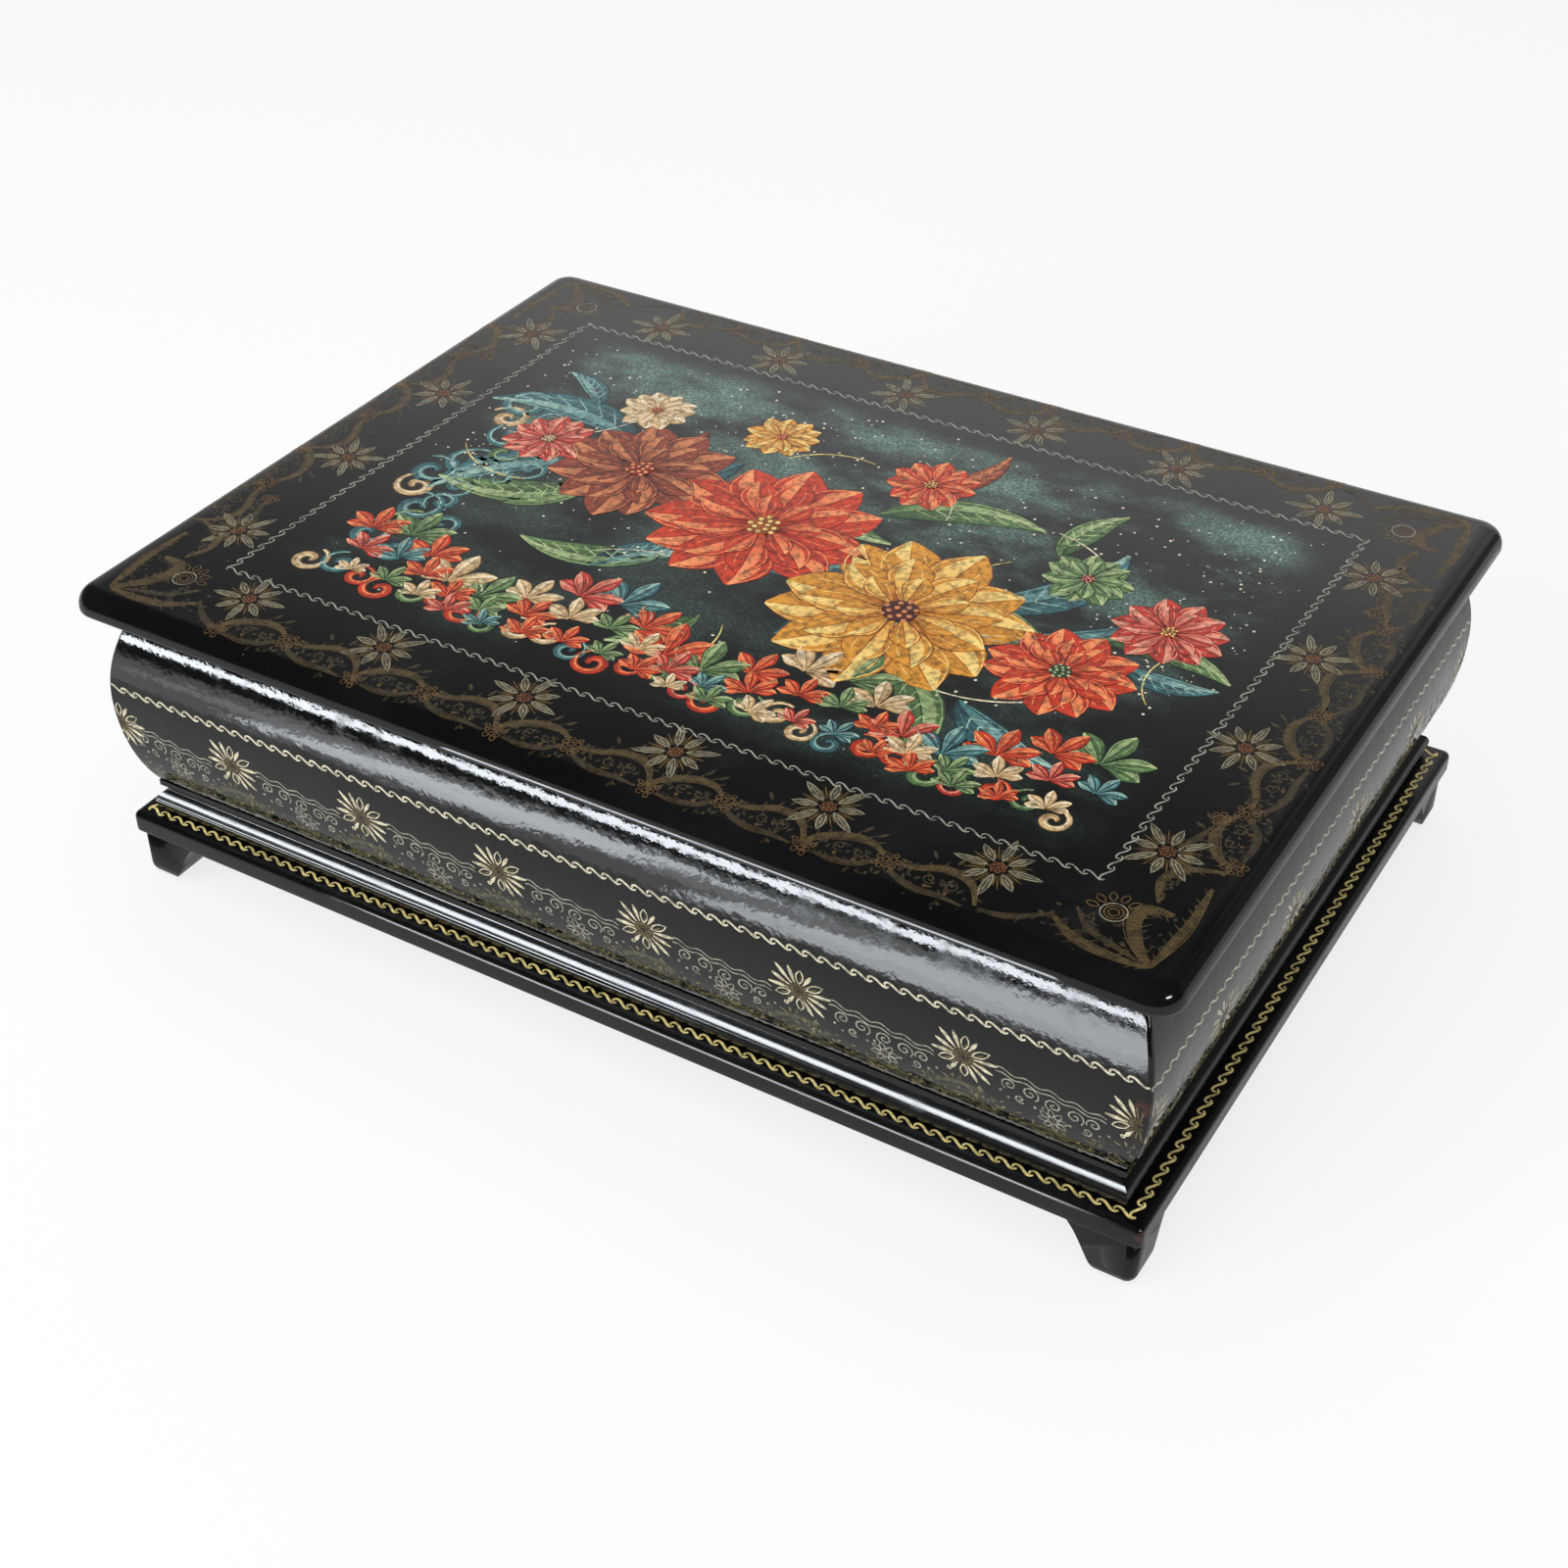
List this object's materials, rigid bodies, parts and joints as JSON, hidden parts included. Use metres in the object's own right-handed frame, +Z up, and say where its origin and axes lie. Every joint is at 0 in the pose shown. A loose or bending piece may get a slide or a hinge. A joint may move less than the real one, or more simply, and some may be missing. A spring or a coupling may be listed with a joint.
{
  "type": "lacquer box",
  "caption": "Footed rectangular black lacquer casket with swelling walls, a moulded plinth, an overhanging hinged lid and painted folk ornament.",
  "frame": {"origin": "on the ground under the middle of the lid", "axes": "+X to the right along the long side, +Y to the back where the hinges are, +Z up"},
  "size_m": [0.2528, 0.1818, 0.078],
  "materials": {
    "black_lacquer": "gloss",
    "red_lacquer": "gloss",
    "brass": "satin"
  },
  "bodies": {
    "case": {"wall_front": "black_lacquer", "wall_back": "black_lacquer", "wall_left": "black_lacquer", "wall_right": "black_lacquer", "moulding_front": "black_lacquer", "moulding_back": "black_lacquer", "moulding_left": "black_lacquer", "moulding_right": "black_lacquer", "floor_board": "red_lacquer", "plinth_plate": "black_lacquer", "foot_front_left": "black_lacquer", "foot_front_right": "black_lacquer", "foot_back_left": "black_lacquer", "foot_back_right": "black_lacquer", "hinge_left_case_leaf": "brass", "hinge_left_pin": "brass", "hinge_left_case_screws": "brass", "hinge_right_case_leaf": "brass", "hinge_right_pin": "brass", "hinge_right_case_screws": "brass"},
    "lid": {"lid_panel": "black_lacquer", "lid_rim_front": "black_lacquer", "lid_rim_back": "black_lacquer", "lid_rim_left": "black_lacquer", "lid_rim_right": "black_lacquer", "hinge_left_lid_leaf": "brass", "hinge_left_lid_screws": "brass", "hinge_right_lid_leaf": "brass", "hinge_right_lid_screws": "brass"}
  },
  "joints": [
    {"name": "lid_hinge", "type": "hinge", "parent": "case", "child": "lid", "pos_m": [0, 0.0849, 0.0708], "axis": [-1, 0, 0], "range_deg": [0, 100]}
  ]
}
